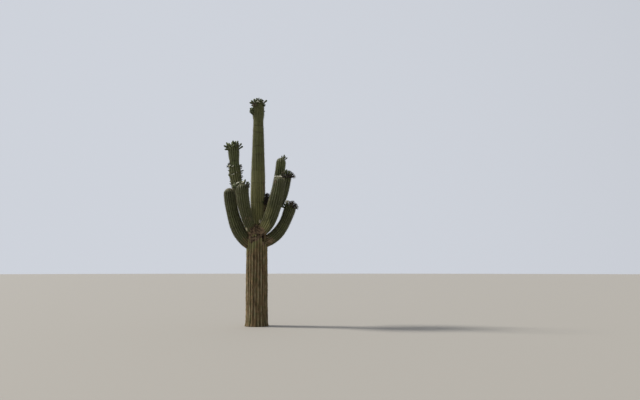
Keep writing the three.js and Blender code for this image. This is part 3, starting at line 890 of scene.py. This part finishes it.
def skin_material(name, shaded_furrow, crest, lit, brown, brown_share, young_tint, painted_light_below=None):
    """Waxy ribbed skin, mottled, with corky bark where it is old and rough brown scars."""
    n = Nodes(bpy.data.materials.new(name))
    flow = n.attribute("flow", "Vector")
    crestness = n.attribute("crest")
    age, scar, tip, pit, band, young, pale, callus = (
        n.attribute(key) for key in ("age", "scar", "tip", "pit", "band", "young", "pale", "callus")
    )
    along_limb = n.fill(n.add("ShaderNodeSeparateXYZ"), "Z", Vector=flow)
    cloud = n.noise(flow, 2.6, 4.0, 0.6)
    blotch = n.noise(flow, 11.0, 4.0, 0.6)
    streak = n.noise(n.stretch(flow, (34.0, 34.0, 2.4)), 1.0, 3.0, 0.6)
    speck = n.noise(flow, 190.0, 2.0, 0.5)

    # Partly the crests' own paler skin, partly painted shade: the furrows are far darker than the crests.
    green = n.mix(n.ramp(crestness, 0.05, 0.85), shaded_furrow, crest)
    green = n.mix(n.ramp(cloud, 0.38, 0.68, 0.0, 0.75), green, lit)
    green = n.mix(young, green, n.mix(1.0, green, young_tint, "MULTIPLY"))
    # Painted light: the stem is painted paler below a height, where the arms shade it, and in the pale
    # patches, which are partly painted light too.
    if painted_light_below:
        pale = n.math("MAXIMUM", n.ramp(along_limb, painted_light_below, painted_light_below * PAINTED_LIGHT_FROM, 0.0, 0.8), pale)
    green = n.mix(n.math("MULTIPLY", pale, n.ramp(crestness, 0.2, 0.8, 0.16, 1.0)), green, PALE_AND_LIT_GREEN)
    green = n.mix(n.ramp(blotch, 0.52, 0.7, 0.0, 0.5), green, BLOTCH_TINT, "MULTIPLY")
    green = n.mix(n.ramp(streak, 0.35, 0.7, 0.0, 0.5), green, STREAK_TINT, "MULTIPLY")
    # Painted shade: the skin is darker in the constriction grooves.
    green = n.mix(n.ramp(band, 0.1, 0.9, 0.0, 0.75), green, BAND_SHADE_TINT, "MULTIPLY")
    green = n.mix(n.ramp(speck, 0.6, 0.72, 0.0, 0.5), green, SPECK_COLOUR)
    worn = n.math("ADD", n.ramp(blotch, 0.35, 0.75), n.ramp(cloud, 0.45, 0.7))
    worn = n.ramp(n.math("MULTIPLY", worn, 0.5), 1 - brown_share, 1.15 - brown_share * 0.5, 0.0, 0.8)
    skin = n.mix(worn, green, brown)
    skin = n.mix(n.ramp(tip, 0.3, 0.95, 0.0, 0.6), skin, TIP_COLOUR)

    bark_streak = n.noise(n.stretch(flow, (46.0, 46.0, 4.0)), 1.0, 5.0, 0.62)
    bark = n.mix(n.ramp(bark_streak, 0.32, 0.66), *BARK_COLOURS)
    bark = n.mix(n.ramp(blotch, 0.44, 0.64, 0.0, 0.75), bark, BARK_GREEN)
    bark = n.mix(n.ramp(cloud, 0.5, 0.7, 0.0, 0.5), bark, BARK_TINT, "MULTIPLY")
    bark = n.mix(n.ramp(along_limb, 1.3, 2.1, 1.0, 0.0), bark, BARK_FOOT_TINT, "MULTIPLY")
    # Painted shade: the bark is painted darker in its furrows.
    bark = n.mix(n.ramp(crestness, 0.0, 0.45, 0.6, 0.0), bark, BARK_FURROW_SHADE)
    bark = n.mix(n.ramp(n.math("MULTIPLY", crestness, streak), 0.4, 0.62, 0.0, 0.8), bark, BARK_CREST)
    old = n.mix(n.ramp(n.ragged(age, bark_streak, 0.9), 0.2, 0.75), skin, bark)

    scab = n.mix(n.ramp(blotch, 0.38, 0.66), *SCAB_COLOURS)
    old = n.mix(n.ramp(n.ragged(scar, blotch, 0.8), 0.3, 0.62), old, scab)
    # A pale corky callus over the nest hole, and painted highlights on the rib edges at the arms' roots.
    old = n.mix(n.ramp(callus, 0.25, 0.8), old, CALLUS_AND_HIGHLIGHT_COLOUR)
    fine = n.fill(n.add("ShaderNodeBump"), "Normal", Height=speck, Distance=0.0012, Strength=0.6)
    grain = n.math("MULTIPLY", bark_streak, n.math("MAXIMUM", age, scar))
    coarse = n.add("ShaderNodeBump")
    normal = n.fill(coarse, "Normal", Height=grain, Distance=0.012, Strength=0.9, Normal=fine)
    # Painted shade: the pits' insides are painted near-black.
    n.set(n.shader.inputs["Base Color"], n.mix(pit, old, PIT_SHADE_COLOUR))
    n.set(n.shader.inputs["Roughness"], n.ramp(n.math("ADD", age, scar), 0.0, 0.8, 0.52, 0.9))
    n.set(n.shader.inputs["Specular IOR Level"], SKIN_GLOSS)
    n.set(n.shader.inputs["Normal"], normal)
    return n.owner


def plain_material(name, colour, roughness):
    """One base colour, for a joined piece of many small things."""
    n = Nodes(bpy.data.materials.new(name))
    n.set(n.shader.inputs["Base Color"], colour)
    n.set(n.shader.inputs["Roughness"], roughness)
    return n.owner


def dressed(obj, nodes=()):
    """The piece rides on the plant's one body and stands for its nodes."""
    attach(obj, "root")
    if nodes:
        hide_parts(*nodes)


# Pits in the trunk: the bird's nest hole, the crease under an arm and smaller wounds, as azimuth,
# height, radius, how much taller than wide, and depth. The rim's place, width and swelling go by a pit's
# radius. Edges round a pit that are longer than FINE_EDGE are cut. Inside, each pit is painted near-black
# as painted shade, and the crease is painted black as the shade below that arm.
PITS = (
    (-72, 3.02, 0.036, 1.5, 0.085), (-66, 2.9, 0.018, 1.6, 0.02), (-78, 2.74, 0.02, 1.2, 0.02),
    (-122, 2.5, 0.03, 1.2, 0.03), (-47, 2.65, 0.058, 3.0, 0.09), (-152, 4.745, 0.016, 1.2, 0.03),
    (40, 4.2, 0.02, 1.2, 0.03), (120, 3.7, 0.026, 1.3, 0.05),
)
PIT_REACH = 2.0
PIT_MARGIN = 1.2
PIT_CUTS = 2
FINE_EDGE = 0.006
PIT_WALL = (1.0, 0.72)
PIT_SHADE_RANGE = (0.95, 0.7)
PIT_LEVEL = 0.3
RIM_AT = 1.3
RIM_WIDTH = 0.28
RIM_SWELL = 0.16
RIM_SCAR = 0.9


def pit_place(limb, azimuth, height):
    """Point a little below a limb's crests, at an azimuth and height."""
    ring = limb.ring_at(height)
    reach = limb.radius[ring] * (1 - limb.relief[ring] * PIT_LEVEL)
    return limb.centre[ring] + direction(azimuth, 0) * reach


def carve_pits(obj, limb):
    """Sinks each pit into the skin, with a swollen rim, on a mesh made finer round it."""
    mesh = bmesh.new()
    mesh.from_mesh(obj.data)
    layers = mesh.verts.layers.float
    pit_shade_layer, scar_layer = layers["pit"], layers["scar"]
    for azimuth, height, radius, taller, depth in PITS:
        place = Vector(pit_place(limb, azimuth, height))
        inwards = -Vector(direction(azimuth, 0))
        reach = radius * PIT_REACH

        def scaled(vert, place=place, taller=taller):
            offset = vert.co - place
            return Vector((offset.x, offset.y, offset.z / taller))

        near = [e for e in mesh.edges if all(scaled(v).length < reach for v in e.verts)]
        edges = [e for e in near if e.calc_length() > FINE_EDGE]
        bmesh.ops.subdivide_edges(mesh, edges=edges, cuts=PIT_CUTS, use_grid_fill=True)
        for vert in mesh.verts:
            offset = scaled(vert)
            if offset.length > reach * PIT_MARGIN:
                continue
            away = (offset - inwards * offset.dot(inwards)).length / radius
            rim = math.exp(-(((away - RIM_AT) / RIM_WIDTH) ** 2))
            vert.co += inwards * (depth * float(smoothstep(*PIT_WALL, away)) - RIM_SWELL * radius * rim)
            # The pit's inside is marked for painted shade.
            vert[pit_shade_layer] = max(vert[pit_shade_layer], float(smoothstep(*PIT_SHADE_RANGE, away)))
            vert[scar_layer] = max(vert[scar_layer], rim * RIM_SCAR)
    bmesh.ops.triangulate(mesh, faces=[f for f in mesh.faces if len(f.verts) > 3])
    mesh.to_mesh(obj.data)
    mesh.free()
    obj.data.polygons.foreach_set("use_smooth", np.full(len(obj.data.polygons), True))


# Scars: rough brown tissue over the junction, at the arms' roots and on old wounds, as centre, radii and
# how strong.
SCARS = (
    ((-0.13, -0.28, 2.86), (0.13, 0.2, 0.17), 0.8), ((0.02, -0.28, 2.8), (0.15, 0.2, 0.2), 0.85),
    ((-0.2, -0.26, 2.62), (0.1, 0.2, 0.13), 0.7), ((-0.06, -0.3, 2.6), (0.08, 0.2, 0.09), 0.45),
    ((0.17, -0.24, 2.72), (0.09, 0.2, 0.2), 0.7), ((-0.34, -0.26, 2.7), (0.14, 0.2, 0.16), 0.4),
    ((-0.25, -0.42, 3.05), (0.16, 0.22, 0.3), 0.24), ((0.21, -0.1, 4.24), (0.09, 0.2, 0.28), 0.5),
    ((-0.26, -0.5, 3.4), (0.16, 0.25, 0.45), 0.12), ((-0.86, -0.05, 4.13), (0.25, 0.3, 0.2), 0.36),
    ((0.49, -0.64, 4.33), (0.09, 0.12, 0.1), 0.5), ((0.6, -0.15, 2.6), (0.4, 0.3, 0.25), 0.25),
    ((0.36, -0.22, 2.56), (0.14, 0.2, 0.12), 0.22),
)


# Corky skin: heights between which the trunk's gives way to green, lengths between which an arm's does,
# and how corky an arm is at most.
TRUNK_CORK = (3.05, 1.75)
ARM_CORK = (0.5, 0.05)
ARM_CORKIEST = 0.7


def trunk_age(points, flow):
    """How corky the trunk is: old at the foot, with a ragged edge."""
    height = points[..., 2] + 0.4 * noise(flow, 2.2, 4.0) + 0.35 * noise(flow, (14, 14, 1.2), 9.0)
    return smoothstep(*TRUNK_CORK, height)


def arm_age(points, flow):
    """How corky an arm is: a little, next to the trunk."""
    return ARM_CORKIEST * smoothstep(*ARM_CORK, flow[..., 2] + 0.14 * noise(flow, 9, 2.0))


# Pale patches: painted light on the stem over the junction and on the right front arm's left flank, where
# other arms shade them, and lighter skin at the front arms' roots and on the left tall arm.
PALE_AND_LIT_PATCHES = (
    ((0.11, -0.28, 3.07), (0.12, 0.2, 0.13), 1.0), ((0.24, -0.42, 3.0), (0.17, 0.25, 0.2), 1.0),
    ((-0.34, -0.36, 2.87), (0.05, 0.14, 0.1), 1.0), ((0.0, -0.22, 3.25), (0.16, 0.16, 0.32), 0.75),
    ((0.3, -0.5, 3.42), (0.1, 0.3, 0.42), 0.55), ((0.05, -0.22, 3.5), (0.22, 0.2, 0.42), 0.4),
    ((-0.72, 0.25, 4.5), (0.3, 0.4, 0.4), 0.35),
)

# Pale patches: a corky callus over the nest hole, and painted highlights along the ribs that bend in at
# the front arms' roots, where the light catches their edges.
CALLUS_AND_RIB_HIGHLIGHTS = (
    ((0.085, -0.21, 3.13), (0.055, 0.12, 0.06), 1.0), ((-0.335, -0.36, 2.87), (0.03, 0.12, 0.1), 1.0),
    ((0.3, -0.25, 2.66), (0.1, 0.2, 0.05), 0.4),
)
PATCH_EDGE = (1.35, 0.45)


def patches(places, points, flow):
    """Strength at each point of soft patches with ragged edges."""
    edge = 0.5 * noise(flow, 6, 1.5) + 0.3 * noise(flow, (24, 24, 9), 3.5)
    total = 0
    for centre, radii, strength in places:
        off = np.linalg.norm((points - np.array(centre)) / np.array(radii), axis=-1) + edge
        total = total + strength * smoothstep(*PATCH_EDGE, off)
    return np.clip(total, 0, 1)


# The skins. The trunk's green is painted paler below a height, as painted light where the arms shade
# the stem, and the arms' young growth is fresher.
trunk_skin = skin_material(
    "trunk_skin", shaded_furrow=(0.03, 0.035, 0.012), crest=(0.142, 0.157, 0.056), lit=(0.165, 0.183, 0.06),
    brown=(0.14, 0.1, 0.05), brown_share=0.3, young_tint=(1.0, 1.0, 1.0), painted_light_below=5.1,
)
arm_skin = skin_material(
    "arm_skin", shaded_furrow=(0.026, 0.03, 0.011), crest=(0.078, 0.088, 0.034), lit=(0.098, 0.112, 0.042),
    brown=(0.09, 0.062, 0.034), brown_share=0.44, young_tint=(1.42, 1.52, 1.42),
)

trunk = trunk_limb()
arms = {name: arm_limb(arm, seed + 1) for seed, (name, arm) in enumerate(ARMS.items())}
trunk.shape_skin(trunk_age)
for limb in arms.values():
    limb.shape_skin(arm_age)

trunk_bark = trunk.skin("trunk_bark", trunk_skin)
carve_pits(trunk_bark, trunk)
dressed(trunk_bark, ["trunk"])
for name, limb in arms.items():
    nodes = [name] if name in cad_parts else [f"{name}_{part}" for part in SPLIT_NAMES]
    dressed(limb.skin(f"{name}_skin", arm_skin), nodes)


DEPTH_STEP = 4


def depth_in(limb, points):
    """How deep points are inside a limb, from its crests, at every fourth ring."""
    deepest = np.full(len(points), -np.inf)
    for ring in range(0, limb.shoulder, DEPTH_STEP):
        distance = np.linalg.norm(points - limb.centre[ring], axis=1)
        deepest = np.maximum(deepest, limb.radius[ring] - distance)
    return deepest


# Spines and felt pads, joined by side of the plant. None grow inside another limb, in a pit or near the
# ground. They are fewer where the skin is old or scarred, and smaller where it is old and on the tips.
LOWEST_SPINES = 0.08
CLEAR_OF_LIMBS = 0.004
BARE_ROUND_PITS = 1.5
BALD_BY_AGE = 0.85
BALD_BY_SCAR = 0.9
BALDEST = 0.94
SMALLER_BY_AGE = 0.35
SMALLER_AT_TIP = 0.25
GROUPS = {
    "trunk": ["trunk"],
    "left": ["left_low_arm", "left_tall_arm", "left_front_arm"],
    "right": ["right_tall_arm", "right_front_arm", "right_slim_arm", "right_low_arm", "stub"],
}
limbs = {"trunk": trunk, **arms}
pad_material = plain_material("felt_pads", (0.23, 0.19, 0.13), 0.95)
spine_materials = {tint: plain_material(f"spine_{tint}", colour, 0.55) for tint, _, colour in SPINE_TINTS}
shares = [share for _, share, _ in SPINE_TINTS]
bare_places = [(pit_place(trunk, *pit[:2]), pit[2] * BARE_ROUND_PITS) for pit in PITS]


def spine_cover(name):
    """A limb's felt pads, and its spines of each tint, as points and triangles."""
    points, normals, upwards, values = limbs[name].areoles()
    hidden = np.zeros(len(points), bool)
    for other, limb in limbs.items():
        if other != name:
            hidden |= depth_in(limb, points) > -CLEAR_OF_LIMBS
    for place, radius in bare_places:
        hidden |= np.linalg.norm(points - place, axis=1) < radius
    bald = np.clip(values["age"] * BALD_BY_AGE + values["scar"] * BALD_BY_SCAR, 0, BALDEST)
    keep = ~hidden & (rng.uniform(size=len(points)) > bald) & (points[:, 2] > LOWEST_SPINES)
    points, normals, upwards = points[keep], normals[keep], upwards[keep]
    size = 1 - SMALLER_BY_AGE * values["age"][keep] - SMALLER_AT_TIP * values["tip"][keep]
    turns = np.stack([upwards, np.cross(normals, upwards), normals], -1)
    pads = copies((OCTA_POINTS * PAD_SIZE, OCTA), points, turns, size)
    corners = spines_on(points, normals, upwards, size)
    chosen = rng.choice(len(shares), size=corners.shape[:2], p=shares)
    return pads, [tetras(corners[chosen == i]) for i in range(len(shares))]


for group, names in GROUPS.items():
    covers = [spine_cover(name) for name in names]
    pads = joined([limb_pads for limb_pads, _ in covers])
    dressed(mesh_object(f"{group}_felt_pads", *pads, pad_material))
    for i, tint in enumerate(spine_materials):
        spines = joined([limb_spines[i] for _, limb_spines in covers])
        piece = mesh_object(f"{group}_spines_{tint}", *spines, spine_materials[tint], smooth=False)
        dressed(piece)


def clear_of_limbs(flower, carrier):
    """True where a flower's tip is outside every limb but the one that carries it."""
    kind, foot, aim, size = flower
    tip = (foot + aim * size * FLOWER_LENGTH)[None]
    return all(depth_in(limb, tip)[0] < 0 for name, limb in limbs.items() if name != carrier)


flowers = []
for name, crown in CROWNS.items():
    flowers += [flower for flower in crown_flowers(limbs[name], crown) if clear_of_limbs(flower, name)]
collar_ring = int(np.argmin(abs(limbs[COLLAR_LIMB].run - COLLAR_AT * limbs[COLLAR_LIMB].run[-1])))
flowers += crown_flowers(limbs[COLLAR_LIMB], COLLAR, collar_ring)
for name, places in STRAYS.items():
    flowers += [stray_flower(limbs[name], *place) for place in places]
for name, kind, count, heights, sizes in SCATTERED:
    for _ in range(count):
        azimuth, height, size = rng.uniform(-180, 180), rng.uniform(*heights), rng.uniform(*sizes)
        flowers.append(stray_flower(limbs[name], azimuth, height, kind, size))

# The flowers' materials, as colour and roughness, and the pieces of each kind, as name, slot, shape and
# material.
FLOWER_LOOKS = {
    "bud_green": ((0.06, 0.082, 0.03), 0.55),
    "scale_green": ((0.12, 0.135, 0.055), 0.6),
    "outer_petal": ((0.45, 0.5, 0.26), 0.55),
    "closed_petal": ((0.24, 0.28, 0.12), 0.55),
    "petal_white": ((0.88, 0.87, 0.76), 0.5),
    "stamen_yellow": ((0.72, 0.6, 0.28), 0.7),
    "fruit_skin": ((0.12, 0.105, 0.05), 0.6),
    "withered_brown": ((0.1, 0.072, 0.052), 0.9),
    # The shrivelled flowers' near-black is partly their own dark colour, partly painted shade.
    "shrivelled_dark_and_shade": ((0.028, 0.02, 0.015), 0.9),
}
FLOWER_PIECES = {
    "bud": (
        ("buds", "buds", revolve(BUD_OUTLINE), "bud_green"),
        ("bud_scales", "buds", scales(BUD_OUTLINE), "scale_green"),
    ),
    "open": (
        ("flower_tubes", "buds", revolve(TUBE_OUTLINE), "bud_green"),
        ("flower_tube_scales", "buds", scales(TUBE_OUTLINE), "scale_green"),
        ("outer_petals", "petals", petals(OUTER_PETALS, OUTER_TURN), "outer_petal"),
        ("inner_petals", "petals", petals(INNER_PETALS), "petal_white"),
        ("stamens", "petals", stamens(), "stamen_yellow"),
    ),
    "swelling": (
        ("swelling_buds", "buds", revolve(BUD_OUTLINE), "bud_green"),
        ("swelling_bud_scales", "buds", scales(BUD_OUTLINE), "scale_green"),
        ("petal_tips", "petals", revolve(PETAL_TIP_OUTLINE), "closed_petal"),
    ),
    "withered": (
        ("young_fruits", "withered", revolve(FRUIT_OUTLINE), "fruit_skin"),
        ("young_fruit_scales", "withered", scales(FRUIT_OUTLINE), "scale_green"),
        ("withered_petals", "withered", petals(WITHERED_PETALS), "withered_brown"),
    ),
    "shrivelled": (
        ("dark_fruits", "withered", revolve(FRUIT_OUTLINE), "shrivelled_dark_and_shade"),
        ("dark_petals", "withered", petals(WITHERED_PETALS), "shrivelled_dark_and_shade"),
    ),
}
flower_materials = {name: plain_material(name, *look) for name, look in FLOWER_LOOKS.items()}
for kind, pieces in FLOWER_PIECES.items():
    chosen = [rest for each, *rest in flowers if each == kind]
    feet, aims, sizes = (np.array(column) for column in zip(*chosen))
    turns = frames(aims, rng.uniform(0, 2 * math.pi, len(feet)))
    for name, slot, template, look in pieces:
        piece = mesh_object(name, *copies(template, feet, turns, sizes), flower_materials[look])
        dressed(piece)

# Studio: a pale floor that runs to the horizon, a pale sky that is brighter behind the plant than in
# front of it, and a soft sun from the upper left, a little behind.
FLOOR_RADIUS = 220
FLOOR_SIDES = 96
SKY_BEHIND = (0.62, 0.65, 0.71)
SKY_IN_FRONT = (0.33, 0.33, 0.33)
SKY_BEHIND_FROM = (-0.35, 0.94, 0)
FLOOR_COLOUR = (0.35, 0.335, 0.31)
SUN_FROM = (-0.85, 0.24, 0.74)
SUN_STRENGTH = 4.0
SUN_COLOUR = (1.0, 0.95, 0.86)
SUN_WIDTH = 12

floor_mesh = bmesh.new()
bmesh.ops.create_circle(floor_mesh, cap_ends=True, radius=FLOOR_RADIUS, segments=FLOOR_SIDES)
floor_data = bpy.data.meshes.new("floor")
floor_mesh.to_mesh(floor_data)
floor_mesh.free()
floor = bpy.data.objects.new("floor", floor_data)
bpy.context.scene.collection.objects.link(floor)
floor.data.materials.append(plain_material("pale_floor", FLOOR_COLOUR, 0.9))

sky = Nodes(bpy.data.worlds.new("studio"), "Background")
behind = sky.add("ShaderNodeVectorMath", operation="DOT_PRODUCT")
sky.set(behind.inputs[0], sky.add("ShaderNodeTexCoord").outputs["Generated"])
sky.set(behind.inputs[1], SKY_BEHIND_FROM)
blend = sky.mix(sky.ramp(behind.outputs["Value"], -1, 1), SKY_IN_FRONT, SKY_BEHIND)
sky.set(sky.shader.inputs["Color"], blend)
bpy.context.scene.world = sky.owner
bpy.context.scene.view_settings.view_transform = "Standard"

sun_data = bpy.data.lights.new("sun", "SUN")
sun_data.energy = SUN_STRENGTH
sun_data.color = SUN_COLOUR
sun_data.angle = math.radians(SUN_WIDTH)
sun = bpy.data.objects.new("sun", sun_data)
sun.rotation_mode = "QUATERNION"
sun.rotation_quaternion = Vector(SUN_FROM).to_track_quat("Z", "Y")
bpy.context.scene.collection.objects.link(sun)

# Camera: where the photograph was taken from, at eye height, turned a little right and up.
CAMERA_DISTANCE = 19.116
EYE_HEIGHT = 1.7
CAMERA_PITCH = 6.341
CAMERA_YAW = 5.726
LENS = 35
SENSOR = 36

camera_data = bpy.data.cameras.new("camera")
camera_data.lens = LENS
camera_data.sensor_width = SENSOR
camera = bpy.data.objects.new("camera", camera_data)
camera.location = (0, -CAMERA_DISTANCE, EYE_HEIGHT)
camera.rotation_mode = "QUATERNION"
camera.rotation_quaternion = Vector(direction(90 - CAMERA_YAW, CAMERA_PITCH)).to_track_quat("-Z", "Y")
bpy.context.scene.collection.objects.link(camera)
bpy.context.scene.camera = camera
